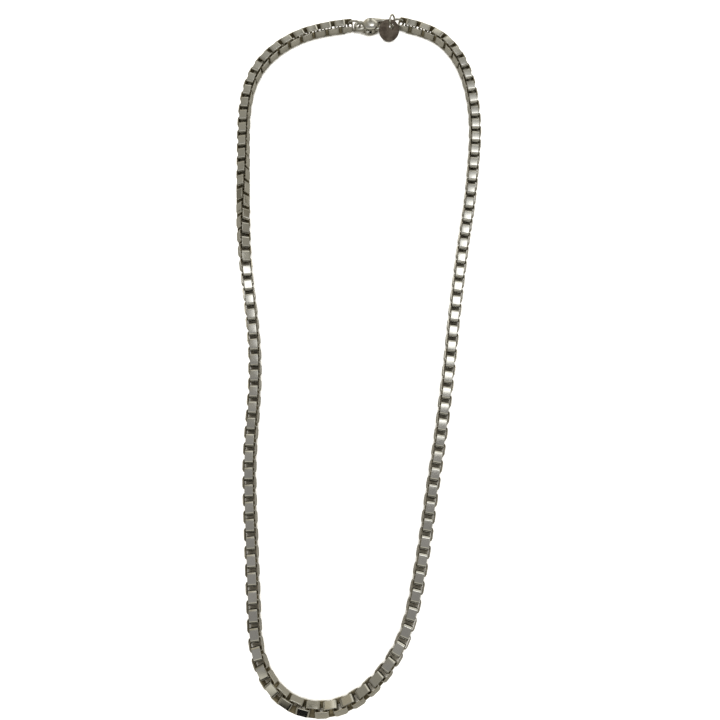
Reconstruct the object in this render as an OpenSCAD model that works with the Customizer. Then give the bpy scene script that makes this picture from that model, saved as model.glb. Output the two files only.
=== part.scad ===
// Silver box chain necklace with a trigger clasp and a small round tag, lying flat.
// Millimetres. X runs across the loop, +Y points to the clasp, +Z is up, and Z = 0 is the table.

/* [Chain links] */
// Length of one link's frame along the chain
link_len = 3.95; // [3.91:0.01:3.99]
// Width of the flat strip that the frame is bent from
strip_w = 2.4; // [2.25:0.05:2.45]
// Thickness of the strip
strip_t = 0.37; // [0.34:0.01:0.39]
// How much wider the frame's opening is than the strip that passes through it
link_slack = 0.6; // [0.59:0.01:0.75]
// Play between the end bars of two links that are hooked together
link_play = 0.83; // [0.81:0.01:0.87]
// Radius of the frame's outer corners
corner_r = 0.85; // [0.7:0.05:1]
// Radius of the frame's inner corners
inner_r = 0.25; // [0.1:0.05:0.35]

/* [Rings] */
// Outer diameter of the two closed rings at the ends of the chain
ring_od = 4.8; // [4.75:0.05:4.9]
// Wire diameter of these rings
ring_wire = 0.75; // [0.6:0.05:0.8]
// Outer diameter of the tag's ring
tag_ring_od = 4.2; // [4.1:0.05:4.3]
// Wire diameter of the tag's ring
tag_ring_wire = 0.62; // [0.5:0.02:0.66]

/* [Clasp] */
// Outer diameter of the eye
eye_od = 4.2; // [4.1:0.05:4.3]
// Diameter of the hole in the eye
eye_hole = 1.8; // [1.7:0.05:1.9]
// Diameter of the round housing
housing_d = 5.4; // [5.2:0.1:5.6]
// Thickness of the housing
housing_t = 3.3; // [3:0.1:3.4]
// Radius of the housing's rounded rim
housing_r = 1.35; // [0.8:0.05:1.35]
// Diameter of the back where it leaves the housing
back_d = 2.8; // [2.6:0.1:3]
// Diameter of the hook
hook_wire = 1.05; // [0.9:0.05:1.1]
// Outer diameter of the hook's bow
hook_od = 4.2; // [4.1:0.05:4.3]
// Thickness of the lever
lever_t = 1; // [0.8:0.05:1.1]
// Width of the lever at its free end
lever_w = 0.84; // [0.7:0.02:0.9]
// Diameter of the thumb nub on the lever
nub_d = 1.2; // [1:0.1:1.4]
// Diameter of the lever's rivet
pin_d = 0.8; // [0.6:0.05:0.9]
// Radial clearance of the lever on its rivet
pin_gap = 0.05; // [0.03:0.01:0.08]
// How far the lever swings in, in degrees
lever_swing = 18; // [12:1:20]

/* [Tag] */
// Diameter of the round tag
tag_d = 6.9; // [6.6:0.1:7.2]
// Thickness of the tag
tag_t = 0.6; // [0.5:0.05:0.65]
// Diameter of the hole in the tag
tag_hole = 1.6; // [1.5:0.05:1.7]
// Rim left between the hole and the tag's edge
tag_rim = 1.2; // [1.1:0.05:1.3]
// Lean of the tag from lying flat, in degrees
tag_lean = 41; // [39:1:43]

/* [Hidden] */
$fn = 48;
body_fn = 36;
ball_fn = 32;

silver = "#a7a59c";
bright_silver = "#c4c2ba";
dark_silver = "#5a524b";

// The chosen points of the chain's route, anticlockwise from the clasp's ring to the end ring
route = [
    [-4.2, 106], [-17, 104.5], [-28.5, 97.5], [-36, 87], [-38, 73.5], [-37.5, 60.5],
    [-37, 47.5], [-36.5, 34.5], [-35.5, 22], [-33.5, 9], [-31.5, -4], [-30.5, -17],
    [-31, -30], [-31.5, -43], [-30.5, -56], [-29.5, -69], [-28.5, -81.5], [-27.5, -95],
    [-19, -106], [-5, -107], [6, -99], [13, -88], [16, -75], [18.5, -62.5],
    [20.5, -49.5], [23, -37], [25, -24], [27, -11], [28.5, 1.5], [30.5, 14.5],
    [32.5, 27.5], [35, 40], [36.5, 53], [38, 65.5], [37.5, 79], [35, 91.5],
    [27.5, 103.5], [15.2, 106.5]
];
// The middle of the necklace's box, among these points. It becomes the origin
middle = [0, 0.4];
laid = [for (p = route) p - middle];

// How far the chain is rolled about its own length: share of the route, degrees
roll_table = [
    [0, 0], [0.03, 4], [0.08, 2], [0.12, 6], [0.15, 14], [0.175, 36], [0.19, 50], [0.21, 66],
    [0.235, 82], [0.25, 87], [0.3, 90], [0.33, 92], [0.36, 90], [0.45, 90], [0.48, 112],
    [0.51, 137], [0.545, 163], [0.565, 174], [0.59, 179], [0.65, 180], [0.72, 180],
    [0.8, 176], [0.86, 175], [0.885, 180], [0.92, 176], [0.945, 183], [0.97, 187], [1, 180]
];

// A smooth curve that is drawn towards its points and starts and ends on the outer two
function pull(a, b, c, d, t) =
    (pow(1 - t, 3) * a + (3 * pow(t, 3) - 6 * t * t + 4) * b
        + (3 * t + 3 * t * t - 3 * pow(t, 3) + 1) * c + pow(t, 3) * d) / 6;

fine_steps = 12;
last_leg = len(laid) - 2;
before = 2 * laid[0] - laid[1];
after = 2 * laid[last_leg + 1] - laid[last_leg];
fine = [
    for (i = [0:last_leg]) for (k = [0:fine_steps - 1])
        pull(i == 0 ? before : laid[i - 1], laid[i], laid[i + 1],
            i == last_leg ? after : laid[i + 2], k / fine_steps),
    laid[last_leg + 1]
];
walked = [
    for (i = 0, d = 0; i < len(fine);
        d = d + (i + 1 < len(fine) ? norm(fine[i + 1] - fine[i]) : 0), i = i + 1) d
];
route_len = walked[len(walked) - 1];
walk_x = [for (i = [0:len(fine) - 1]) [walked[i], fine[i][0]]];
walk_y = [for (i = [0:len(fine) - 1]) [walked[i], fine[i][1]]];

// Neighbours sit one pitch apart, and an odd number of links ends the chain as it starts
link_size = strip_w + 2 * strip_t + link_slack;
pitch = link_len - 2 * strip_t - link_play;
link_count = 2 * round(route_len / pitch / 2) + 1;
step = route_len / (link_count - 1);
half_count = ceil(link_count / 2);

// Near both ends the chain is lifted to the height of the standing rings
ring_axis = ring_od / 2;
lift_links = 5;
lift_reach = lift_links * pitch;

function roll_at(d) = lookup(d / route_len, roll_table);
// Half the height of the square tube that the links fill, at a roll
function lay_height(roll) =
    let (c = abs(cos(roll)), s = abs(sin(roll)))
    max(link_size * c + strip_w * s, link_size * s + strip_w * c) / 2;
function end_share(d) = max(0, 1 - min(d, route_len - d) / lift_reach);
function eased(s) = s * s * (3 - 2 * s);
function axis_height(d) =
    lay_height(roll_at(d)) + (ring_axis - lay_height(0)) * eased(end_share(d));
function place_at(d) = [lookup(d, walk_x), lookup(d, walk_y), axis_height(d)];
function heading_at(d) = place_at(min(d + step / 2, route_len)) - place_at(max(d - step / 2, 0));
function unit(v) = v / norm(v);
function level(v) = [v[0], v[1], 0];

// The end bars of the first and the last link, and the line between them that the clasp lies on
bar_reach = (link_len - strip_t) / 2;
first_bar = place_at(0) - bar_reach * unit(level(heading_at(0)));
last_bar = place_at(route_len) + bar_reach * unit(level(heading_at(route_len)));
clasp_way = unit(level(last_bar - first_bar));
clasp_turn = atan2(clasp_way[1], clasp_way[0]);

// How far each ring's centre is past the link's end bar that it holds
bar_seat = 0.58;
ring_path_r = (ring_od - ring_wire) / 2;
clasp_ring_at = first_bar + bar_seat * clasp_way;
end_ring_at = last_bar - bar_seat * clasp_way;

// The eye is threaded by its ring, and the hook lies inside the end ring, clear by hook_gap
hook_gap = 0.3;
eye_at = clasp_ring_at + ring_path_r * clasp_way;
hook_bar_at = end_ring_at - (ring_path_r - ring_wire / 2 - hook_wire / 2 - hook_gap) * clasp_way;

// Clasp: x runs from the eye's centre to the hook, and the lever is on the -y side
clasp_lift = 0.2;
clasp_axis = housing_t / 2 + clasp_lift;
eye_wire = (eye_od - eye_hole) / 2;
bow_r = (hook_od - hook_wire) / 2;
bow_x = norm(level(hook_bar_at - eye_at)) - bow_r;
housing_x = (eye_hole + housing_d) / 2;

// The back runs from the housing's far side to the bow, a little past the straight line
back_swell = [0.2, 0.15];
back_y = (housing_d - back_d) / 2;
back_mid = [housing_x + bow_x, back_y + bow_r] / 2 + back_swell;
back_mid_d = (back_d + hook_wire) / 2;

// The bow turns on past its side by tip_turn and ends in a ball that is fuller by tip_swell.
// The lever stops tip_gap short of the hook
tip_turn = 95;
tip_swell = 0.04;
tip_gap = 0.26;
hook_tip = [bow_x + bow_r * cos(tip_turn), -bow_r * sin(tip_turn)];
lever_end = hook_tip - [hook_wire / 2 + tip_gap + lever_w / 2, 0];

// The lever turns in a slot in the housing, on a rivet towards its open side
slot_gap = 0.12;
pivot_in = 1.5;
root_wall = 0.45;
pivot = [housing_x, pivot_in - housing_d / 2];
lever_root_d = pin_d + 2 * root_wall;
nub_ahead = 1.3;
nub_out = 0.05;
nub_at = [housing_x - nub_ahead, -housing_d / 2 - nub_out];
rivet_sunk = 0.15;

// The tag hangs from the end ring by its hole and leans back on it. The hole is to the upper
// right of the tag's middle, hole_turn from straight right
hole_from_ring = [-2, -2.19, 1.15];
hole_turn = 54;
hole_at = [end_ring_at[0], end_ring_at[1], ring_axis] + hole_from_ring;
hole_reach = tag_d / 2 - tag_rim - tag_hole / 2;
hole_dir = [cos(hole_turn), sin(hole_turn), 0];

// The tag's ring stands across the tag, turned by ring_slew and dipped by ring_dip
tag_ring_r = (tag_ring_od - tag_ring_wire) / 2;
ring_slew = 28;
ring_dip = 11;

module rounded_rect(length, width, r) {
    square([length - 2 * r, width], center = true);
    square([length, width - 2 * r], center = true);
    for (x = [-1, 1], y = [-1, 1])
        translate([x * (length / 2 - r), y * (width / 2 - r)]) circle(r);
}

// One link: a frame bent from flat strip, in the plane of X and Y
module chain_link() {
    linear_extrude(strip_w, center = true) difference() {
        rounded_rect(link_len, link_size, corner_r);
        rounded_rect(link_len - 2 * strip_t, link_size - 2 * strip_t, inner_r);
    }
}

// A run of links, each rolled a quarter turn from the one before
module links(first, last) {
    for (i = [first:last]) {
        d = i * step;
        h = heading_at(d);
        translate(place_at(d))
            rotate([0, -atan2(h[2], norm([h[0], h[1]])), atan2(h[1], h[0])])
            rotate([roll_at(d) + 90 * (i % 2), 0, 0])
            chain_link();
    }
}

module chain_left() {
    color(silver) links(0, half_count - 1);
}

module chain_right() {
    color(silver) links(half_count, link_count - 1);
}

module ring(od, wire) {
    rotate_extrude() translate([(od - wire) / 2, 0]) circle(d = wire);
}

// A ring that stands across a link's end bar, in line with the clasp
module standing_ring(at) {
    color(silver) translate([at[0], at[1], ring_axis])
        rotate([90, 0, clasp_turn]) ring(ring_od, ring_wire);
}

module clasp_ring() {
    standing_ring(clasp_ring_at);
}

module end_ring() {
    standing_ring(end_ring_at);
}

// A plate outline from a round end at p to a round end at q
module limb(p, dp, q, dq) {
    hull() {
        translate(p) circle(d = dp);
        translate(q) circle(d = dq);
    }
}

// A tapered round bar in the clasp's plane, from a ball at p to a ball at q
module bar(p, dp, q, dq) {
    hull() {
        translate([p[0], p[1], 0]) sphere(d = dp, $fn = ball_fn);
        translate([q[0], q[1], 0]) sphere(d = dq, $fn = ball_fn);
    }
}

module on_clasp() {
    translate([eye_at[0], eye_at[1], clasp_axis]) rotate([0, 0, clasp_turn]) children();
}

// Half the housing's section: the outer half of a plate with a round rim
module housing_half() {
    intersection() {
        union() {
            square([housing_d - 2 * housing_r, housing_t], center = true);
            square([housing_d, housing_t - 2 * housing_r], center = true);
            for (z = [-1, 1])
                translate([housing_d / 2 - housing_r, z * (housing_t / 2 - housing_r)])
                circle(housing_r);
        }
        translate([0, -housing_t / 2]) square([housing_d, housing_t]);
    }
}

// The lever's outline, wider by grow all round
module lever_outline(grow) {
    limb(pivot, lever_root_d + 2 * grow, lever_end, lever_w + 2 * grow);
    limb(pivot, lever_root_d + 2 * grow, nub_at, nub_d + 2 * grow);
}

module clasp_body() {
    $fn = body_fn;
    slot_t = lever_t + 2 * slot_gap;
    color(bright_silver) on_clasp() difference() {
        union() {
            ring(eye_od, eye_wire);
            translate([housing_x, 0, 0]) rotate_extrude() housing_half();
            bar([housing_x, back_y], back_d, back_mid, back_mid_d);
            bar(back_mid, back_mid_d, [bow_x, bow_r], hook_wire);
            translate([bow_x, 0, 0]) rotate([0, 0, -tip_turn])
                rotate_extrude(angle = 90 + tip_turn) translate([bow_r, 0]) circle(d = hook_wire);
            translate([hook_tip[0], hook_tip[1], 0])
                hull() sphere(d = hook_wire + 2 * tip_swell, $fn = ball_fn);
        }
        // The slot holds the lever at rest and swung in
        translate([0, 0, -slot_t / 2]) linear_extrude(slot_t)
            for (swing = [0, 1])
                translate(pivot) rotate(swing * lever_swing) translate(-pivot)
                lever_outline(slot_gap);
        translate([pivot[0], pivot[1], -housing_t]) cylinder(h = 2 * housing_t, d = pin_d);
    }
}

module clasp_lever() {
    color(bright_silver) on_clasp() difference() {
        linear_extrude(lever_t, center = true) lever_outline(0);
        translate([pivot[0], pivot[1], -lever_t])
            cylinder(h = 2 * lever_t, d = pin_d + 2 * pin_gap);
    }
}

module lever_pin() {
    color(silver) on_clasp() translate([pivot[0], pivot[1], 0])
        cylinder(h = housing_t - 2 * rivet_sunk, d = pin_d, center = true);
}

module on_tag_hole() {
    translate(hole_at) rotate([tag_lean, 0, 0]) children();
}

module tag_disc() {
    color(dark_silver) on_tag_hole() linear_extrude(tag_t, center = true) difference() {
        translate(-hole_reach * hole_dir) circle(d = tag_d);
        circle(d = tag_hole);
    }
}

module tag_ring() {
    color(silver) on_tag_hole() rotate([0, -ring_slew, 0]) rotate([-ring_dip, 0, 0])
        translate([0, tag_ring_r, 0]) rotate([0, 90, 0]) ring(tag_ring_od, tag_ring_wire);
}

chain_left();
chain_right();
clasp_body();
clasp_lever();
lever_pin();
clasp_ring();
end_ring();
tag_disc();
tag_ring();
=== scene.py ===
"""The looks of a silver box chain necklace, laid flat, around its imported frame.

Shapes are worked out in millimetres, as the real pieces are measured, and put into meshes in metres.
"""
import math

import bmesh
import bpy
import numpy as np
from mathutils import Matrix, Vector


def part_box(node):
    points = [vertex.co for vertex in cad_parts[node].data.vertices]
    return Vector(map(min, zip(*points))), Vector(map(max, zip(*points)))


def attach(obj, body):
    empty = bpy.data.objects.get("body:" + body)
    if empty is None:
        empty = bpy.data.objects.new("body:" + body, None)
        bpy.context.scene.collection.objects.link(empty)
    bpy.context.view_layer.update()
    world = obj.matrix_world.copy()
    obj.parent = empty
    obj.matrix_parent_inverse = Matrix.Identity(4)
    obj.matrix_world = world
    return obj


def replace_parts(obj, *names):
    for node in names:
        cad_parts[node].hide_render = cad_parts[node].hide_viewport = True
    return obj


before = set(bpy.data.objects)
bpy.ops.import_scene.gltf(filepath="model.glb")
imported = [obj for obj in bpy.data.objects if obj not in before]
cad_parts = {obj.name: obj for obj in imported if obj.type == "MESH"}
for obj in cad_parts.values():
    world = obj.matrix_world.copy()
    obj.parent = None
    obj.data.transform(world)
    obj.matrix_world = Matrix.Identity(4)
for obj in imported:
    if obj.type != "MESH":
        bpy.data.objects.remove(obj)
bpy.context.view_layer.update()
MM = 0.001

# Chain, as the construction has it: the length of a link, its strip's width and thickness, the slack across
# and the play along where one link passes through another, the radii of its corners outside and inside, and
# how many links rise to the rings at each end
LINK_LEN = 3.95
STRIP_W = 2.4
STRIP_T = 0.37
LINK_SLACK = 0.6
LINK_PLAY = 0.83
CORNER_R = 0.85
INNER_R = 0.25
LINK_SIZE = STRIP_W + 2 * STRIP_T + LINK_SLACK
LIFT_LINKS = 5
# Points that steer the chain's line from its left end round to its right end, seen from above, the point
# among them that lies on the origin, and how many steps the line takes from one to the next
MIDDLE = np.array([0, 0.4])
STEPS = 12
ROUTE = np.array([
    (-4.2, 106), (-17, 104.5), (-28.5, 97.5), (-36, 87), (-38, 73.5), (-37.5, 60.5),
    (-37, 47.5), (-36.5, 34.5), (-35.5, 22), (-33.5, 9), (-31.5, -4), (-30.5, -17),
    (-31, -30), (-31.5, -43), (-30.5, -56), (-29.5, -69), (-28.5, -81.5), (-27.5, -95),
    (-19, -106), (-5, -107), (6, -99), (13, -88), (16, -75), (18.5, -62.5),
    (20.5, -49.5), (23, -37), (25, -24), (27, -11), (28.5, 1.5), (30.5, 14.5),
    (32.5, 27.5), (35, 40), (36.5, 53), (38, 65.5), (37.5, 79), (35, 91.5),
    (27.5, 103.5), (15.2, 106.5)])
# Roll of the chain about its own length: share of the route, degrees
ROLL = np.array([
    (0, 0), (0.03, 4), (0.08, 2), (0.12, 6), (0.15, 14), (0.175, 36), (0.19, 50), (0.21, 66),
    (0.235, 82), (0.25, 87), (0.3, 90), (0.33, 92), (0.36, 90), (0.45, 90), (0.48, 112),
    (0.51, 137), (0.545, 163), (0.565, 174), (0.59, 179), (0.65, 180), (0.72, 180),
    (0.8, 176), (0.86, 175), (0.885, 180), (0.92, 176), (0.945, 183), (0.97, 187), (1, 180)])

# Finish of the strip: its worn outer edge, how much its wide faces are crowned across, the angle that they
# lean away by at each end, how its inner and side faces lean, and the points of each corner
EDGE_R = 0.14
CROWN = 0.03
PLATE_BOW = math.radians(2.6)
INNER_LEAN, SIDE_LEAN = 0.06, 0.2
CORNER_STEPS = 3
# How deep in the frame each row of the section lies: 0 on the outer face, 1 on the inner one. It brings in
# the tarnish and painted shade of the inner faces.
RECESS = np.array([0, 0.15, 1, 1, 0.15, 0])
TONE_SEED = 11

# Clasp, on its own axes: x from the eye to the hook, the lever on the -y side
EYE_OD, EYE_WIRE = 4.2, 1.2
HOUSING_X, HOUSING_D, HOUSING_T = 3.6, 5.4, 3.3
BACK_D, HOOK_WIRE, BOW_R = 2.8, 1.05, 1.575
TIP_TURN = math.radians(95)
TIP_GAP = 0.26
LEVER_W, LEVER_T, LEVER_ROOT = 0.84, 1.0, 1.7
PIVOT = np.array([3.6, -1.2])
NUB_AT, NUB_D = np.array([2.3, -2.75]), 1.2
SLOT_GAP = 0.12
SWING = math.radians(18)
RIVET_D, RIVET_RIM, RIVET_DOME = 0.8, 0.1, 0.06
CLASP_Z = 1.85
CAST_VOXEL = 0.07
# Powers of the sine and cosine that shape the housing's dome across and up: lower is fuller than an ellipse
DOME_ACROSS, DOME_UP = 0.8, 0.72
# The back's line: a second point from its start in the housing, a bend from the middle of its run, and its
# last point from where the hook's bow starts. There it is thicker than the bow's wire by twice BACK_SPARE.
BACK_START, BACK_BEND, BACK_END = (1.6, -0.08), (0.2, 0.1), (-0.6, 0.02)
BACK_SPARE = 0.04
# Neck: its line, and its half sizes across and up
NECK = [(2.2, 0), (2.6, 0.1), (3.1, 0.2)]
NECK_ACROSS, NECK_UP = [1.25, 1.6, 2.0], [0.7, 0.95, 1.2]
# Lever: the points where it bends, from the rivet, with its half width there, how far past the rivet it is
# widest, and the power that makes its section squarish
LEVER_HEEL, LEVER_ARM = (-0.45, -0.4, 0.8), (1.9, -0.12, 0.62)
LEVER_WIDEST = 0.3
LEVER_SQUARE = 0.6

# Tag and rings: the tag's hole is turned round from its middle, and the tag's ring is slewed and dipped from
# upright on the tag
RING_WIRE = 0.75
TAG_D, TAG_T, TAG_HOLE, TAG_RIM, TAG_EDGE = 6.9, 0.6, 1.6, 1.2, 0.14
TAG_LEAN = math.radians(41)
HOLE_TURN = math.radians(54)
TAG_RING_OD, TAG_RING_WIRE = 4.2, 0.62
RING_SLEW, RING_DIP = math.radians(28), math.radians(11)
RING_STEPS, WIRE_STEPS = 64, 20


def turned(axis, angle):
    """The 3 by 3 matrix that turns a point by angle about one of the axes 0, 1 or 2."""
    c, s = math.cos(angle), math.sin(angle)
    i, j = (axis + 1) % 3, (axis + 2) % 3
    m = np.eye(3)
    m[i, i], m[i, j], m[j, i], m[j, j] = c, -s, s, c
    return m


def unit(v):
    """Rows of numbers, each divided by its length."""
    return v / np.linalg.norm(v, axis=-1, keepdims=True)


def middle_of(node):
    """The middle of a node's box, in millimetres."""
    low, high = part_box(node)
    return np.array((low + high) / 2) / MM


# Meshes

def grid_quads(nu, nv, wrap_u, wrap_v):
    """Corner indices (i, j) of every quad of an nu by nv grid that may close on itself, as two arrays."""
    across = np.arange(nu if wrap_u else nu - 1)
    along = np.arange(nv if wrap_v else nv - 1)
    i, j = (index.ravel() for index in np.meshgrid(across, along, indexing="ij"))
    return np.stack([i, i + 1, i + 1, i], 1), np.stack([j, j, j + 1, j + 1], 1)


def surface(name, points, wrap=(True, True), normals=None, lengths=None, values=None):
    """A mesh from grids of points: an array (copies, nu, nv, 3) in millimetres.

    The faces join each point (i, j) to (i + 1, j), (i + 1, j + 1) and (i, j + 1). normals is two arrays of
    the same shape: how the surface faces at each point where a face leaves it along v, and where the face
    before it arrives. lengths holds the distance along u and along v at each grid line, one more than the
    points where the grid closes, and becomes the UV map. values names arrays (copies, nu, nv).
    """
    points = np.asarray(points, float)
    if points.ndim == 3:
        points = points[None]
    copies, nu, nv, _ = points.shape
    qi, qj = grid_quads(nu, nv, *wrap)
    quad = (qi % nu) * nv + qj % nv
    quads = (quad[None] + nu * nv * np.arange(copies)[:, None, None]).reshape(-1, 4)
    mesh = bpy.data.meshes.new(name)
    mesh.vertices.add(copies * nu * nv)
    mesh.vertices.foreach_set("co", (points * MM).astype(np.float32).ravel())
    mesh.loops.add(quads.size)
    mesh.loops.foreach_set("vertex_index", quads.astype(np.int32).ravel())
    mesh.polygons.add(len(quads))
    mesh.polygons.foreach_set("loop_start", np.arange(0, quads.size, 4, dtype=np.int32))
    mesh.polygons.foreach_set("use_smooth", np.ones(len(quads), bool))
    mesh.update(calc_edges=True)
    if lengths is not None:
        uv = np.stack([lengths[0][qi], lengths[1][qj]], 2)
        layer = mesh.uv_layers.new(name="strip")
        layer.data.foreach_set("uv", np.tile(uv.reshape(-1), copies).astype(np.float32))
    for key, array in (values or {}).items():
        attribute = mesh.attributes.new(key, "FLOAT", "POINT")
        full = np.broadcast_to(array, points.shape[:3])
        attribute.data.foreach_set("value", full.astype(np.float32).ravel())
    if normals is not None:
        leaving, arriving = (np.broadcast_to(part, points.shape) for part in normals)
        here, ahead = qi % nu, qj % nv
        by_corner = (leaving, leaving, arriving, arriving)
        corners = [part[:, here[:, k], ahead[:, k]] for k, part in enumerate(by_corner)]
        mesh.normals_split_custom_set(np.stack(corners, 2).reshape(-1, 3))
    return mesh


def shown(name, mesh, material):
    """A piece in the scene that shows a mesh in one material."""
    piece = bpy.data.objects.new(name, mesh)
    bpy.context.scene.collection.objects.link(piece)
    mesh.materials.clear()
    mesh.materials.append(material)
    return piece


def closed_up(mesh, same=1e-7):
    """Merges the points that lie on each other at seams and poles, and turns every face outwards."""
    b = bmesh.new()
    b.from_mesh(mesh)
    bmesh.ops.remove_doubles(b, verts=b.verts, dist=same)
    bmesh.ops.recalc_face_normals(b, faces=b.faces)
    b.to_mesh(mesh)
    b.free()
    return mesh


def joined(meshes, name):
    """One mesh that holds several."""
    b = bmesh.new()
    for mesh in meshes:
        b.from_mesh(mesh)
        bpy.data.meshes.remove(mesh)
    mesh = bpy.data.meshes.new(name)
    b.to_mesh(mesh)
    b.free()
    return mesh


# The chain

def laid_curve():
    """The chain's line: a uniform cubic B-spline of the route, as points and the distance walked to each."""
    p = ROUTE - MIDDLE
    p = np.vstack([2 * p[0] - p[1], p, 2 * p[-1] - p[-2]])
    t = np.arange(STEPS) / STEPS
    basis = np.stack([(1 - t) ** 3, 3 * t ** 3 - 6 * t ** 2 + 4,
                      3 * t + 3 * t ** 2 - 3 * t ** 3 + 1, t ** 3]) / 6
    legs = np.stack([p[i:len(p) - 3 + i] for i in range(4)])
    fine = np.einsum("kf,klc->lfc", basis, legs).reshape(-1, 2)
    fine = np.vstack([fine, p[-2]])
    walked = np.concatenate([[0], np.cumsum(np.linalg.norm(np.diff(fine, axis=0), axis=1))])
    return fine, walked


def laid_links():
    """Where every link lies: its middle (n, 3) and the matrix (n, 3, 3) whose columns are its axes.

    A link's x runs along the chain, from half a pitch before its middle to half a pitch past it, and each
    one is rolled a quarter turn more than the one before, on top of the chain's own roll.
    """
    fine, walked = laid_curve()
    total = walked[-1]
    pitch = LINK_LEN - 2 * STRIP_T - LINK_PLAY
    count = 2 * round(total / pitch / 2) + 1
    step = total / (count - 1)
    ring_axis = middle_of("end_ring")[2]

    def roll_at(d):
        """The chain's roll in radians, by the distance walked."""
        return np.radians(np.interp(d / total, ROLL[:, 0], ROLL[:, 1]))

    def place_at(d):
        """A point of the chain's middle line: as high as a link there needs, and lifted near both ends."""
        c, s = abs(np.cos(roll_at(d))), abs(np.sin(roll_at(d)))
        lie = np.maximum(LINK_SIZE * c + STRIP_W * s, LINK_SIZE * s + STRIP_W * c) / 2
        near = np.maximum(0, 1 - np.minimum(d, total - d) / (LIFT_LINKS * pitch))
        height = lie + (ring_axis - LINK_SIZE / 2) * near ** 2 * (3 - 2 * near)
        return np.stack([np.interp(d, walked, fine[:, 0]), np.interp(d, walked, fine[:, 1]), height], -1)

    d = np.arange(count) * step
    along = unit(place_at(np.minimum(d + step / 2, total)) - place_at(np.maximum(d - step / 2, 0)))
    side = unit(np.cross([0, 0, 1], along))
    up = np.cross(along, side)
    roll = (roll_at(d) + np.pi / 2 * (np.arange(count) % 2))[:, None]
    y = side * np.cos(roll) + up * np.sin(roll)
    return place_at(d), np.stack([along, y, np.cross(along, y)], -1)


def link_grid():
    """One link: the strip's section carried round a rectangle with round corners.

    u goes round the frame. At each u the section runs between the outer path, of corner radius CORNER_R,
    and the inner one, a strip's thickness in, of corner radius INNER_R. v goes round the section: worn edge,
    side, wide inner face, side, worn edge, wide outer face. Each is a face across v whose shading is bent
    from how it faces at its start to how it faces at its end: rows of starts and ends say how much out of
    the frame and how much along its width. Returns points, normals and lengths.
    """
    corner = np.repeat([(1, 1), (-1, 1), (-1, -1), (1, -1)], CORNER_STEPS, 0)
    angle = np.concatenate([np.linspace(q, q + 1, CORNER_STEPS) for q in range(4)]) * np.pi / 2
    out = np.stack([np.cos(angle), np.sin(angle)], 1)
    half = np.array([LINK_LEN, LINK_SIZE]) / 2
    outer = corner * (half - CORNER_R) + CORNER_R * out
    inner = corner * (half - STRIP_T - INNER_R) + INNER_R * out
    e, w = EDGE_R / STRIP_T, STRIP_W / 2
    share = np.array([1, 1 - e, 0, 0, 1 - e, 1])
    z = np.array([w - EDGE_R, w, w, -w, -w, EDGE_R - w])
    flat = inner[:, None] + (outer - inner)[:, None] * share[:, None]
    points = np.concatenate([flat, np.broadcast_to(z[:, None], flat.shape[:2] + (1,))], 2)
    starts = np.array([(1, CROWN), (0, 1), (-1, INNER_LEAN), (-SIDE_LEAN, -1), (0, -1), (1, -CROWN)])
    ends = np.array([(0, 1), (-SIDE_LEAN, 1), (-1, -INNER_LEAN), (0, -1), (1, -CROWN), (1, CROWN)])
    bowed = angle + PLATE_BOW * np.tile(np.linspace(1, -1, CORNER_STEPS), 4)
    lean = np.stack([np.cos(bowed), np.sin(bowed)], 1)
    normals = []
    for row in (starts, np.roll(ends, 1, 0)):
        width = np.broadcast_to(row[:, 1:], flat.shape[:2] + (1,))
        normals.append(unit(np.concatenate([lean[:, None] * row[:, :1], width], 2)))
    around = np.linalg.norm(np.roll(outer, -1, 0) - outer, axis=1)
    across = np.linalg.norm(np.diff(np.vstack([points[0], points[0, :1]]), axis=0), axis=1)
    lengths = [np.concatenate([[0], np.cumsum(a)]) for a in (around, across)]
    return points, normals, lengths


def build_chain(material):
    """The links of both halves of the chain, each half one mesh of loose frames."""
    middle, axes = laid_links()
    points, normals, lengths = link_grid()
    rng = np.random.default_rng(TONE_SEED)
    tone = rng.random(len(middle))[:, None, None]
    placed = middle[:, None, None] + np.einsum("nab,uvb->nuva", axes, points)
    facing = [np.einsum("nab,uvb->nuva", axes, part) for part in normals]
    half = (len(middle) + 1) // 2
    for name, part in (("chain_left", slice(0, half)), ("chain_right", slice(half, None))):
        mesh = surface(name + "_links", placed[part], normals=[f[part] for f in facing], lengths=lengths,
                       values={"recess": RECESS, "tone": tone[part]})
        piece = shown(name + "_links", mesh, material)
        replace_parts(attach(piece, "root"), name)


# Rings

def torus(path_r, wire_r, nu=RING_STEPS, nv=WIRE_STEPS):
    """A ring in the plane of x and y: a circle of radius wire_r carried round one of radius path_r."""
    u = np.arange(nu) / nu * 2 * np.pi
    v = np.arange(nv) / nv * 2 * np.pi
    reach = path_r + wire_r * np.cos(v)
    return np.stack([np.outer(np.cos(u), reach), np.outer(np.sin(u), reach),
                     np.broadcast_to(wire_r * np.sin(v), (nu, nv))], -1)


def build_ring(node, od, wire, axes, material):
    """A closed ring of wire on its node's middle, turned by axes."""
    points = torus((od - wire) / 2, wire / 2) @ axes.T + middle_of(node)
    lengths = [np.linspace(0, np.pi * (od - wire), RING_STEPS + 1),
               np.linspace(0, np.pi * wire, WIRE_STEPS + 1)]
    piece = shown(node + "_wire", surface(node + "_wire", points, lengths=lengths), material)
    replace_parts(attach(piece, "root"), node)


# Clasp

def revolved(profile, nu=96):
    """A profile of (radius, height) rows turned about z."""
    u = np.arange(nu) / nu * 2 * np.pi
    radius, height = np.asarray(profile, float).T
    return np.stack([np.outer(np.cos(u), radius), np.outer(np.sin(u), radius),
                     np.broadcast_to(height, (nu, len(height)))], -1)


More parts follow.
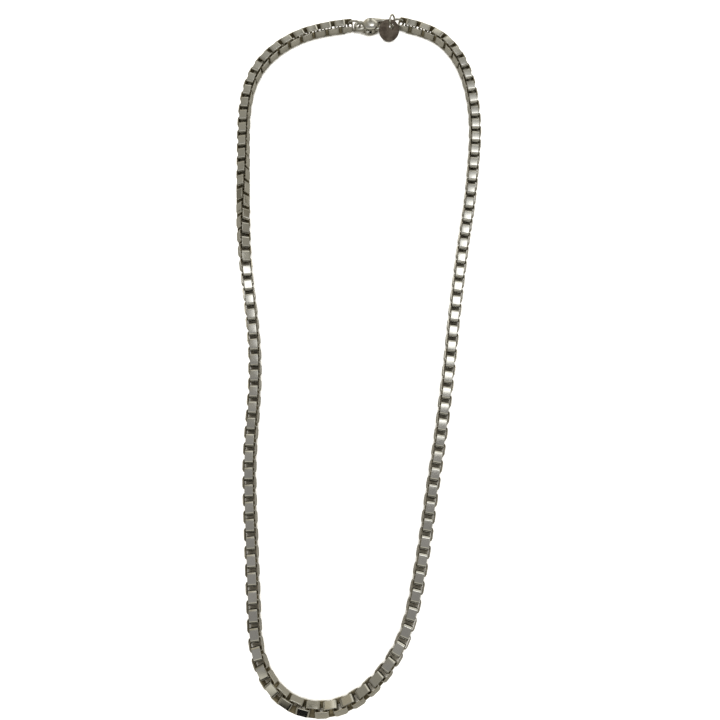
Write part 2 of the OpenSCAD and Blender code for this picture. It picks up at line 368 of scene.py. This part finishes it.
def swept(path, side_r, up_r, square=1.0, nv=32):
    """A bar in the clasp's plane with round ends: an oval section carried along a path.

    At path point p with heading h the section is p + side_r * f(cos v) * (h turned left)
    + up_r * f(sin v) * z, where f(c) = sign(c) * |c| ** square makes the oval fuller as square falls below
    1. Past both ends the section shrinks as a quarter circle.
    """
    path, side_r, up_r = np.asarray(path, float), np.asarray(side_r, float), np.asarray(up_r, float)
    ahead = unit(np.gradient(path, axis=0))
    cap = np.linspace(0, np.pi / 2, 7)[1:]
    first = path[0] - ahead[0] * side_r[0] * np.sin(cap[::-1])[:, None]
    last = path[-1] + ahead[-1] * side_r[-1] * np.sin(cap)[:, None]
    shrink = np.maximum(np.cos(cap), 0.001)
    path = np.vstack([first, path, last])
    ahead = np.vstack([np.repeat(ahead[:1], len(cap), 0), ahead, np.repeat(ahead[-1:], len(cap), 0)])
    side_r = np.concatenate([side_r[0] * shrink[::-1], side_r, side_r[-1] * shrink])
    up_r = np.concatenate([up_r[0] * shrink[::-1], up_r, up_r[-1] * shrink])
    v = np.arange(nv) / nv * 2 * np.pi
    c, s = (np.sign(f) * abs(f) ** square for f in (np.cos(v), np.sin(v)))
    left = np.stack([-ahead[:, 1], ahead[:, 0]], 1)
    flat = path[:, None] + left[:, None] * (side_r[:, None] * c)[..., None]
    return np.concatenate([flat, (up_r[:, None] * s)[..., None]], 2)


def eased(points, count):
    """count points along a smooth curve through a few rows of numbers.

    Between two rows it is the cubic that passes through both, and whose slope at each is half the step from
    the row before to the row after.
    """
    p = np.asarray(points, float)
    p = np.vstack([2 * p[0] - p[1], p, 2 * p[-1] - p[-2]])
    s = np.linspace(0, len(p) - 3, count)
    i = np.minimum(s.astype(int), len(p) - 4)
    t = (s - i)[:, None]
    a, b, c, d = (p[i + k] for k in range(4))
    return (2 * b + (c - a) * t + (2 * a - 5 * b + 4 * c - d) * t ** 2
            + (3 * b - a - 3 * c + d) * t ** 3) / 2


def plate(outline, half_t):
    """A flat plate: the outline (n, 2) at both heights, with its faces drawn in to a middle line."""
    low, high = (np.column_stack([outline, np.full(len(outline), z)]) for z in (-half_t, half_t))
    core = np.column_stack([np.broadcast_to(outline.mean(0), outline.shape), np.zeros(len(outline))])
    return np.stack([core - [0, 0, half_t], low, high, core + [0, 0, half_t]], 1)


def limb_outline(p, dp, q, dq, n=48):
    """The outline of a bar with round ends of diameter dp at p and dq at q: two arcs and their tangents."""
    along = np.asarray(q, float) - p
    turn = math.atan2(along[1], along[0])
    lean = math.acos((dp - dq) / 2 / math.hypot(*along))
    a = np.linspace(turn + lean, turn + 2 * math.pi - lean, n)
    b = np.linspace(turn - lean, turn + lean, n)
    return np.vstack([p + dp / 2 * np.stack([np.cos(a), np.sin(a)], 1),
                      q + dq / 2 * np.stack([np.cos(b), np.sin(b)], 1)])


def clasp_axes():
    """Where the eye's middle is, the matrix of the clasp's axes, and the x of the bow's middle on them."""
    first, last = middle_of("clasp_ring"), middle_of("end_ring")
    way = unit((last - first) * [1, 1, 0])
    low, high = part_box("end_ring")
    path_r = ((high - low)[2] / MM - RING_WIRE) / 2
    eye = first + way * path_r
    axes = turned(2, math.atan2(way[1], way[0]))
    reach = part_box("clasp_body")[1][0] / MM - eye[0]
    return np.array([eye[0], eye[1], CLASP_Z]), axes, reach - BOW_R - HOOK_WIRE / 2


def cast_body(name, solids, slots):
    """One cast piece: closed shells fused by a fine remesh, with the slots cut from them, then softened."""
    body = bpy.data.objects.new(name, joined(solids, name))
    bpy.context.scene.collection.objects.link(body)
    body.scale = (1 / MM,) * 3
    cutters = []
    for mesh in slots:
        cutter = bpy.data.objects.new(name + "_cutter", mesh)
        bpy.context.scene.collection.objects.link(cutter)
        cutter.scale = body.scale
        cutters.append(cutter)
    bpy.context.view_layer.update()
    for o in [body] + cutters:
        o.data.transform(o.matrix_world)
        o.scale = (1, 1, 1)
    fuse = body.modifiers.new("fuse", "REMESH")
    fuse.mode = "VOXEL"
    fuse.voxel_size = CAST_VOXEL
    for cutter in cutters:
        cut = body.modifiers.new("slot", "BOOLEAN")
        cut.operation = "DIFFERENCE"
        cut.object = cutter
        cut.solver = "MANIFOLD"
    again = body.modifiers.new("again", "REMESH")
    again.mode = "VOXEL"
    again.voxel_size = CAST_VOXEL
    soft = body.modifiers.new("soft", "SMOOTH")
    soft.factor = 0.5
    soft.iterations = 6
    bpy.context.view_layer.update()
    graph = bpy.context.evaluated_depsgraph_get()
    mesh = bpy.data.meshes.new_from_object(body.evaluated_get(graph))
    for o in [body] + cutters:
        bpy.data.objects.remove(o)
    mesh.polygons.foreach_set("use_smooth", np.ones(len(mesh.polygons), bool))
    return mesh


def clasp_shells(bow_x):
    """The closed shells that make up the clasp's casting, on the clasp's axes."""
    eye = torus((EYE_OD - EYE_WIRE) / 2, EYE_WIRE / 2)
    a = np.linspace(0, np.pi / 2, 16)
    upper = np.stack([HOUSING_D / 2 * np.sin(a) ** DOME_ACROSS,
                      HOUSING_T / 2 * np.cos(a) ** DOME_UP], 1)
    profile = np.vstack([upper, upper[-2::-1] * [1, -1]])
    housing = revolved(profile) + [HOUSING_X, 0, 0]
    back_y = (HOUSING_D - BACK_D) / 2
    mid = np.array([HOUSING_X + bow_x, back_y + BOW_R]) / 2 + BACK_BEND
    turn = np.linspace(np.pi / 2, -TIP_TURN, 24)
    bow = np.stack([bow_x + BOW_R * np.cos(turn), BOW_R * np.sin(turn)], 1)
    first = np.array([HOUSING_X, back_y])
    corners = np.array([first, first + BACK_START, mid, bow[0] + BACK_END])
    r = np.array([BACK_D / 2, BACK_D / 2, (BACK_D + HOOK_WIRE) / 4, HOOK_WIRE / 2 + BACK_SPARE])
    run = eased(np.column_stack([corners, r]), 30)
    line = np.vstack([run[:, :2], bow])
    half = np.concatenate([run[:, 2], np.full(len(bow), HOOK_WIRE / 2)])
    back = swept(line, half, half)
    neck = swept(NECK, NECK_ACROSS, NECK_UP)
    return [closed_up(surface(n, p, wrap)) for n, p, wrap in (
        ("eye", eye, (True, True)), ("housing", housing, (True, False)),
        ("back", back, (False, True)), ("neck", neck, (False, True)))]


def lever_limbs(lever_end, grow):
    """The lever's two limbs, from the rivet to its free end and to its nub, grown all round."""
    return ((PIVOT, LEVER_ROOT + 2 * grow, lever_end, LEVER_W + 2 * grow),
            (PIVOT, LEVER_ROOT + 2 * grow, NUB_AT, NUB_D + 2 * grow))


def slot_prisms(lever_end):
    """The room that the lever takes in the housing, at rest and swung in."""
    prisms = []
    for swing in (0, SWING):
        turn = turned(2, swing)[:2, :2]
        for limb in lever_limbs(lever_end, SLOT_GAP):
            outline = (limb_outline(*limb) - PIVOT) @ turn.T + PIVOT
            walls = plate(outline, LEVER_T / 2 + SLOT_GAP)
            prisms.append(closed_up(surface("slot", walls, (True, False))))
    return prisms


def put(mesh, axes, at):
    """Carries a mesh's points through the matrix axes and then the step at, in place."""
    co = np.empty(len(mesh.vertices) * 3, np.float32)
    mesh.vertices.foreach_get("co", co)
    mesh.vertices.foreach_set("co", (co.reshape(-1, 3) @ axes.T + at).astype(np.float32).ravel())
    mesh.update()


def build_clasp(material, rivet_material):
    """The clasp's casting, its lever and the rivet, each laid on the clasp's axes."""
    eye, axes, bow_x = clasp_axes()
    tip = np.array([bow_x + BOW_R * math.cos(TIP_TURN), -BOW_R * math.sin(TIP_TURN)])
    lever_end = tip - [HOOK_WIRE / 2 + TIP_GAP + LEVER_W / 2, 0]
    body = cast_body("clasp_casting", clasp_shells(bow_x), slot_prisms(lever_end))
    put(body, axes * MM, eye * MM)
    piece = shown("clasp_casting", body, material)
    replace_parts(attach(piece, "root"), "clasp_body")

    lever = cast_body("lever_casting", [lever_shell(lever_end)], [])
    put(lever, axes * MM, eye * MM)
    piece = shown("lever_casting", lever, material)
    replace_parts(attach(piece, "lever"), "clasp_lever")

    half = (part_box("lever_pin")[1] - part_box("lever_pin")[0])[2] / MM / 2
    a = np.linspace(0, np.pi / 2, 8)
    head = np.stack([RIVET_D / 2 - RIVET_RIM * (1 - np.sin(a)),
                     half - RIVET_DOME - RIVET_RIM + RIVET_RIM * np.cos(a)], 1)
    profile = np.vstack([[(0, half), (RIVET_D / 4, half - RIVET_DOME / 3)], head])
    rivet = revolved(np.vstack([profile, profile[::-1] * [1, -1]]), 48) @ axes.T
    rivet = rivet + eye + axes @ [*PIVOT, 0]
    piece = shown("rivet", closed_up(surface("rivet", rivet, (True, False))), rivet_material)
    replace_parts(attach(piece, "root"), "lever_pin")


def lever_shell(lever_end):
    """The lever: a bent bar of squarish section from its nub past the rivet to its free end."""
    rivet = np.array([*PIVOT, 0])
    line = eased([(*NUB_AT, NUB_D / 2), rivet + LEVER_HEEL, rivet + [LEVER_WIDEST, 0, LEVER_ROOT / 2],
                  rivet + LEVER_ARM, (*lever_end, LEVER_W / 2)], 48)
    bar = swept(line[:, :2], line[:, 2], np.full(len(line), LEVER_T / 2), LEVER_SQUARE)
    return closed_up(surface("lever", bar, (False, True)))


# Tag

def build_tag(material):
    """The round tag: rings of points from its hole to its edge and back along the other face.

    Row v lies on the circle whose middle slides from the hole's to the tag's and whose radius grows from
    the hole's to the tag's, so that the rows fill a disc with a hole off its middle. Both edges are rounded.
    """
    r_hole, r_tag, half = TAG_HOLE / 2, TAG_D / 2, TAG_T / 2
    reach = r_tag - TAG_RIM - r_hole
    hole = reach * np.array([math.cos(HOLE_TURN), math.sin(HOLE_TURN)])
    rim = np.linspace(0, np.pi / 2, 6)
    inward, down = TAG_EDGE * (1 - np.cos(rim)), TAG_EDGE * (1 - np.sin(rim))
    share = np.linspace(0, 1, 24)[1:-1]
    rows = [(0, r_hole + i, half - d) for i, d in zip(inward, down)]
    rows += [(s, r_hole + TAG_EDGE + s * (r_tag - r_hole - 2 * TAG_EDGE), half) for s in share]
    rows += [(1, r_tag - i, half - d) for i, d in zip(inward[::-1], down[::-1])]
    rows = np.array(rows)
    rows = np.vstack([rows, rows[::-1] * [1, 1, -1]])
    u = np.arange(128) / 128 * 2 * np.pi
    around = np.stack([np.cos(u), np.sin(u)], 1)
    flat = (1 - rows[:, :1]) * hole + around[:, None] * rows[:, 1:2]
    points = np.concatenate([flat, np.broadcast_to(rows[:, 2:], (len(u), len(rows), 1))], 2)
    points = points @ turned(0, TAG_LEAN).T + middle_of("tag_disc")
    mesh = closed_up(surface("tag", points, (True, True)))
    piece = shown("tag", mesh, material)
    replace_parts(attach(piece, "root"), "tag_disc")


# Materials. Of each: its clean and toned colours, how rough each is, how many tarnish patches a metre holds
# and how much they cover, how strong the rubbed relief is, the coordinate that it follows, its fineness and
# how far it is drawn out. The links also have the dark brown of their inner faces, tarnish together with
# painted shade, and how many millimetres along the strip the seam is.
FINISHES = {
    "chain": {"clean": (0.74, 0.73, 0.69, 1), "toned": (0.64, 0.6, 0.53, 1), "rough": (0.15, 0.26),
              "patch": 260.0, "amount": 0.3, "bump": 0.25, "coordinate": "UV", "fineness": 1.2,
              "stretch": 9.0, "hollow_tarnish_and_shade": (0.36, 0.31, 0.2, 1), "seam": 6.4},
    "clasp": {"clean": (0.76, 0.75, 0.71, 1), "toned": (0.58, 0.55, 0.48, 1), "rough": (0.16, 0.3),
              "patch": 350.0, "amount": 0.34, "bump": 0.2, "coordinate": "Object", "fineness": 900.0,
              "stretch": 4.0},
    "ring": {"clean": (0.76, 0.75, 0.71, 1), "toned": (0.6, 0.57, 0.5, 1), "rough": (0.18, 0.34),
             "patch": 350.0, "amount": 0.3, "bump": 0.25, "coordinate": "UV", "fineness": 1.5,
             "stretch": 6.0},
    "tag": {"clean": (0.31, 0.268, 0.242, 1), "toned": (0.17, 0.138, 0.124, 1), "rough": (0.4, 0.55),
            "patch": 320.0, "amount": 0.5, "bump": 0.5, "coordinate": "Object", "fineness": 700.0,
            "stretch": 3.0},
}
# For all of them: the height of the rubbed lines in metres, how the lines and the links differ in shade,
# what the grit adds to the roughness, how much less metallic the deepest places are, and the seam's colour
# and how much of it shows
RELIEF = 0.00002
LINE_SHADE, LINK_SHADE = (0.9, 1.06), (0.88, 1.06)
GRIT = (-0.04, 0.06)
DEEP_DULL = 0.6
SEAM_BROWN, SEAM_SHARE = (0.2, 0.17, 0.12, 1), 0.6


def group(name, inputs, outputs):
    """A shader node group with named sockets: (name, kind, default) rows in and (name, kind) rows out."""
    g = bpy.data.node_groups.new(name, "ShaderNodeTree")
    for label, kind, default in inputs:
        socket = g.interface.new_socket(label, in_out="INPUT", socket_type="NodeSocket" + kind)
        socket.default_value = default
    for label, kind in outputs:
        g.interface.new_socket(label, in_out="OUTPUT", socket_type="NodeSocket" + kind)
    return g, Nodes(g)


class Nodes:
    """Short ways to add and join nodes in one tree."""

    def __init__(self, tree):
        self.tree = tree

    def add(self, kind, inputs=None, **settings):
        n = self.tree.nodes.new("ShaderNode" + kind)
        for key, value in settings.items():
            setattr(n, key, value)
        for key, value in (inputs or {}).items():
            self.give(n.inputs[key], value)
        return n

    def give(self, socket, value):
        """Links a socket to the socket it is given, or sets it to a constant."""
        if isinstance(value, bpy.types.NodeSocket):
            self.link(value, socket)
        else:
            socket.default_value = value

    def inner(self):
        """What a group is given, and what it gives."""
        return (self.tree.nodes.new("NodeGroupInput").outputs,
                self.tree.nodes.new("NodeGroupOutput").inputs)

    def link(self, a, b):
        self.tree.links.new(a, b)

    def math(self, operation, a, b=0.0, clamp=False):
        return self.add("Math", {0: a, 1: b}, operation=operation, use_clamp=clamp).outputs[0]

    def spread(self, value, low, high, to_low=0.0, to_high=1.0):
        """value from low..high to to_low..to_high, eased at both ends."""
        n = self.add("MapRange", {"Value": value, "From Min": low, "From Max": high, "To Min": to_low,
                                  "To Max": to_high}, interpolation_type="SMOOTHSTEP")
        return n.outputs["Result"]

    def mix(self, share, a, b):
        """Colour a going over into colour b as share goes from 0 to 1."""
        n = self.add("Mix", data_type="RGBA")
        for socket, value in zip((n.inputs["Factor"], n.inputs[6], n.inputs[7]), (share, a, b)):
            self.give(socket, value)
        return n.outputs[2]


def tarnish_group():
    """Patchy tarnish: slow noise picks the patches and fast noise breaks their edges."""
    g, n = group("tarnish", [("Coordinate", "Vector", (0, 0, 0)), ("Patch Size", "Float", 400.0),
                             ("Amount", "Float", 0.4)], [("Mask", "Float"), ("Speck", "Float")])
    given, out = n.inner()
    where, size = given["Coordinate"], given["Patch Size"]
    slow = n.add("TexNoise", {"Vector": where, "Scale": size, "Detail": 3.0})
    fine = n.math("MULTIPLY", size, 7.0)
    fast = n.add("TexNoise", {"Vector": where, "Scale": fine, "Detail": 4.0, "Roughness": 0.7})
    slow_part = n.math("MULTIPLY", slow.outputs[0], 0.7)
    fast_part = n.math("MULTIPLY", fast.outputs[0], 0.3)
    patch = n.math("ADD", slow_part, fast_part)
    level, soft = n.math("SUBTRACT", 1.0, given["Amount"]), 0.18
    mask = n.spread(patch, n.math("SUBTRACT", level, soft), n.math("ADD", level, soft))
    n.link(mask, out["Mask"])
    n.link(fast.outputs[0], out["Speck"])
    return g


def rub_group():
    """Fine rubbed lines along the first axis of the coordinate, with a soft waviness under them."""
    g, n = group("rubbed", [("Coordinate", "Vector", (0, 0, 0)), ("Fineness", "Float", 6.0),
                            ("Stretch", "Float", 12.0)], [("Height", "Float"), ("Streak", "Float")])
    given, out = n.inner()
    narrow = n.add("CombineXYZ", {0: 1.0, 1: given["Stretch"], 2: given["Stretch"]})
    long = n.add("VectorMath", {0: given["Coordinate"], 1: narrow.outputs[0]}, operation="MULTIPLY")
    fineness = given["Fineness"]
    lines = n.add("TexNoise", {"Vector": long.outputs[0], "Scale": fineness, "Detail": 5.0,
                               "Roughness": 0.65})
    wave = n.add("TexNoise", {"Vector": given["Coordinate"], "Scale": fineness, "Detail": 1.0})
    line_part = n.math("MULTIPLY", lines.outputs[0], 0.35)
    wave_part = n.math("MULTIPLY", wave.outputs[0], 0.65)
    height = n.math("ADD", line_part, wave_part)
    n.link(height, out["Height"])
    n.link(lines.outputs[0], out["Streak"])
    return g


def seam_group():
    """A soldered seam: a hairline across the strip at one distance along it, wavering a little."""
    g, n = group("seam", [("Coordinate", "Vector", (0, 0, 0)), ("Where", "Float", 0.0),
                          ("Width", "Float", 0.05)], [("Mask", "Float")])
    given, out = n.inner()
    waver = n.add("TexNoise", {"Vector": given["Coordinate"], "Scale": 3.0, "Detail": 2.0}).outputs[0]
    along = n.add("SeparateXYZ", {0: given["Coordinate"]}).outputs[0]
    off = n.math("SUBTRACT", along, n.math("ADD", given["Where"], n.math("MULTIPLY", waver, 0.12)))
    n.link(n.spread(n.math("ABSOLUTE", off), 0.0, given["Width"], 1.0, 0.0), out["Mask"])
    return g


def metal(name, groups, clean, toned, rough, patch, amount, bump, coordinate, fineness, stretch,
          hollow_tarnish_and_shade=None, seam=None):
    """A silver finish: clean metal that goes over into toned metal by the tarnish mask, under rubbed lines.

    With a colour for the inner faces, the mesh's recess value brings it in as tarnish and painted shade, and
    its tone value makes each link a little lighter or darker. With seam, a hairline crosses the strip there.
    """
    m = bpy.data.materials.new(name)
    m.use_nodes = True
    m.node_tree.nodes.clear()
    n = Nodes(m.node_tree)
    where = n.add("TexCoord").outputs[coordinate]
    place = n.add("TexCoord").outputs["Object"]
    tarnish = n.add("Group", {"Coordinate": place, "Patch Size": patch, "Amount": amount},
                    node_tree=groups["tarnish"])
    rubbed = n.add("Group", {"Coordinate": where, "Fineness": fineness, "Stretch": stretch},
                   node_tree=groups["rubbed"])
    mask, speck, streak = tarnish.outputs["Mask"], tarnish.outputs["Speck"], rubbed.outputs["Streak"]
    colour = n.mix(mask, clean, toned)
    shade = n.spread(streak, 0.25, 0.75, *LINE_SHADE)
    height = rubbed.outputs["Height"]
    metallic = 1.0
    if seam:
        drawn = n.add("Group", {"Coordinate": where, "Where": seam}, node_tree=groups["seam"])
        line = drawn.outputs["Mask"]
        colour = n.mix(n.math("MULTIPLY", line, SEAM_SHARE), colour, SEAM_BROWN)
        height = n.math("SUBTRACT", height, line)
    # Inner faces take a dark brown by the recess value, partly tarnish and partly painted shade, and are
    # made less metallic
    if hollow_tarnish_and_shade:
        tone = n.add("Attribute", attribute_name="tone").outputs["Fac"]
        shade = n.math("MULTIPLY", shade, n.spread(tone, 0.0, 1.0, *LINK_SHADE))
        recess = n.add("Attribute", attribute_name="recess").outputs["Fac"]
        within = n.spread(n.math("ADD", recess, n.math("MULTIPLY", speck, 0.3)), 0.2, 1.1)
        colour = n.mix(within, colour, hollow_tarnish_and_shade)
        metallic = n.math("SUBTRACT", 1.0, n.math("MULTIPLY", within, DEEP_DULL))
    grey = n.add("CombineColor", {0: shade, 1: shade, 2: shade}).outputs[0]
    tinted = n.add("Mix", {6: colour, 7: grey}, data_type="RGBA", blend_type="MULTIPLY")
    tinted.inputs["Factor"].default_value = 1.0
    worn, grit = n.spread(mask, 0.0, 1.0, *rough), n.spread(speck, 0.3, 0.7, *GRIT)
    roughness = n.math("ADD", worn, grit, clamp=True)
    relief = n.add("Bump", {"Strength": bump, "Distance": RELIEF, "Height": height})
    shader = n.add("BsdfPrincipled", {"Metallic": metallic, "Base Color": tinted.outputs[2],
                                      "Roughness": roughness, "Normal": relief.outputs[0]})
    n.link(shader.outputs[0], n.add("OutputMaterial").inputs["Surface"])
    return m


def build_materials():
    """One material for each row of the finishes."""
    groups = {"tarnish": tarnish_group(), "rubbed": rub_group(), "seam": seam_group()}
    return {key: metal(key + "_silver", groups, **look) for key, look in FINISHES.items()}


# Stage. Camera: its place in millimetres, how far down it looks, its lens and the width of its film
CAMERA_AT = np.array([0.2, -66.83, 202.0])
CAMERA_DOWN = math.radians(74.7)
CAMERA_LENS, CAMERA_FILM = 35.0, 36.0
# Floor: its height and half width in millimetres, its colour under light and in what mirrors it, and how its
# glow fades under the chain: how far it looks for the chain, in metres, and between which shares of open sky
FLOOR_Z, FLOOR_HALF = -0.03, 1500
PAPER, PAPER_MIRRORED = (0.8, 0.76, 0.66, 1), (0.52, 0.5, 0.44, 1)
SKY_REACH, SKY_FROM, SKY_TO = 0.0025, 0.46, 0.64
# Lamps: name, place and size in metres, power
LAMPS = (("key", (-0.15, 0.25, 0.6), 0.5, 1.2), ("fill", (0.35, -0.2, 0.5), 0.5, 0.5))


def build_camera():
    """The camera that stands where the photo's did."""
    data = bpy.data.cameras.new("camera")
    data.lens = CAMERA_LENS
    data.sensor_width = CAMERA_FILM
    data.clip_start = 0.001
    camera = bpy.data.objects.new("camera", data)
    camera.location = Vector(CAMERA_AT * MM)
    camera.rotation_euler = (math.pi / 2 - CAMERA_DOWN, 0, 0)
    bpy.context.scene.collection.objects.link(camera)
    bpy.context.scene.camera = camera


def build_floor():
    """Plain pale paper that glows for the camera, but not where the chain hides the sky from it."""
    u = np.linspace(-1, 1, 9) * FLOOR_HALF
    x, y = np.meshgrid(u, u, indexing="ij")
    mesh = surface("floor", np.stack([x, y, np.full_like(x, FLOOR_Z)], -1), (False, False))
    m = bpy.data.materials.new("floor_paper")
    m.use_nodes = True
    m.node_tree.nodes.clear()
    n = Nodes(m.node_tree)
    ray = n.add("LightPath")
    paper = n.mix(ray.outputs["Is Glossy Ray"], PAPER, PAPER_MIRRORED)
    matt = n.add("BsdfDiffuse", {"Color": paper})
    sky = n.add("AmbientOcclusion", {"Distance": SKY_REACH}, samples=16).outputs["AO"]
    shine = n.math("MULTIPLY", ray.outputs["Is Camera Ray"], n.spread(sky, SKY_FROM, SKY_TO))
    glow = n.add("Emission", {"Color": (1, 1, 1, 1), "Strength": shine})
    both = n.add("AddShader", {0: matt.outputs[0], 1: glow.outputs[0]})
    n.link(both.outputs[0], n.add("OutputMaterial").inputs["Surface"])
    shown("floor", mesh, m)


# Room: what the metal mirrors, and the wall that the camera sees past the floor. Of each soft patch: its
# colour, how far its middle leans to +X and how wide it is to each side, how far its middle is turned from
# straight up to +Y and how wide it is to each side, and how soft its edge is, in degrees
ROOM_GREY = (0.2, 0.185, 0.145, 1)
WALL = (0.9, 0.9, 0.89, 1)
PLACE = ("Lean", "Lean Half", "Turn", "Turn Half", "Soft")
ROOM = (
    ((0.33, 0.315, 0.265), 0, 62, 0, 58, 8),
    ((0.42, 0.41, 0.365), 2, 15, 40, 8, 5),
    ((0.31, 0.302, 0.288), 0, 62, -2, 15, 5),
    ((0.7, 0.68, 0.58), 0, 50, -31, 9, 5),
    ((0.95, 0.92, 0.8), 0, 40, 70, 19, 5),
    ((0.2, 0.19, 0.155), 0.5, 4.5, 66, 26, 2),
    ((0.46, 0.42, 0.32), -26, 14.5, 66, 17, 2.5),
    ((0.8, 0.79, 0.75), 75, 8, 10, 60, 6),
    ((0.01, 0.01, 0.01), 0, 50, -76, 15, 4),
    ((0.6, 0.6, 0.59), 6, 13, 25, 10, 6),
    ((2.2, 2.2, 2.12), 9, 10, 21.5, 8, 3),
)


def window_group():
    """How much a direction looks at a soft-edged patch that is placed by its lean and turn, in degrees."""
    g, n = group("window", [("Direction", "Vector", (0, 0, 0))] + [(k, "Float", 10.0) for k in PLACE],
                 [("Share", "Float")])
    given, out = n.inner()
    xyz = n.add("SeparateXYZ", {0: given["Direction"]}).outputs
    lean = n.math("DEGREES", n.math("ARCSINE", xyz[0]))
    turn = n.math("DEGREES", n.math("ARCTAN2", xyz[1], xyz[2]))
    inside = []
    for value, middle, half in ((lean, "Lean", "Lean Half"), (turn, "Turn", "Turn Half")):
        off = n.math("ABSOLUTE", n.math("SUBTRACT", value, given[middle]))
        full = n.math("SUBTRACT", given[half], given["Soft"])
        none = n.math("ADD", given[half], given["Soft"])
        inside.append(n.spread(off, full, none, 1.0, 0.0))
    n.link(n.math("MULTIPLY", *inside), out["Share"])
    return g


def build_room():
    """The world: the room's grey with every patch laid over it in turn."""
    world = bpy.data.worlds.new("room")
    bpy.context.scene.world = world
    world.use_nodes = True
    world.node_tree.nodes.clear()
    n = Nodes(world.node_tree)
    ray = n.add("TexCoord").outputs["Generated"]
    window = window_group()
    colour = ROOM_GREY
    for patch, *place in ROOM:
        seen = n.add("Group", {"Direction": ray}, node_tree=window)
        for socket, value in zip(PLACE, place):
            seen.inputs[socket].default_value = value
        colour = n.mix(seen.outputs["Share"], colour, (*patch, 1))
    colour = n.mix(n.add("LightPath").outputs["Is Camera Ray"], colour, WALL)
    sky = n.add("Background", {"Color": colour, "Strength": 1.0})
    n.link(sky.outputs[0], n.add("OutputWorld").inputs["Surface"])


def build_lights():
    """Soft round lamps that look at the origin and aren't seen in the metal."""
    for name, at, size, power in LAMPS:
        data = bpy.data.lights.new(name, "AREA")
        data.shape = "DISK"
        data.size = size
        data.energy = power
        lamp = bpy.data.objects.new(name, data)
        lamp.location = at
        lamp.rotation_euler = (-Vector(at)).to_track_quat("-Z", "Y").to_euler()
        lamp.visible_glossy = False
        bpy.context.scene.collection.objects.link(lamp)


build_camera()
build_room()
build_floor()
build_lights()
bpy.context.scene.view_settings.view_transform = "Standard"

finish = build_materials()
build_chain(finish["chain"])
build_clasp(finish["clasp"], finish["ring"])
way_x, way_y, _ = middle_of("end_ring") - middle_of("clasp_ring")
stand = turned(2, math.atan2(way_y, way_x)) @ turned(0, math.pi / 2)
ring_od = (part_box("end_ring")[1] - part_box("end_ring")[0])[2] / MM
build_ring("clasp_ring", ring_od, RING_WIRE, stand, finish["ring"])
build_ring("end_ring", ring_od, RING_WIRE, stand, finish["ring"])
across = turned(0, TAG_LEAN) @ turned(1, -RING_SLEW) @ turned(0, -RING_DIP) @ turned(1, math.pi / 2)
build_ring("tag_ring", TAG_RING_OD, TAG_RING_WIRE, across, finish["ring"])
build_tag(finish["tag"])
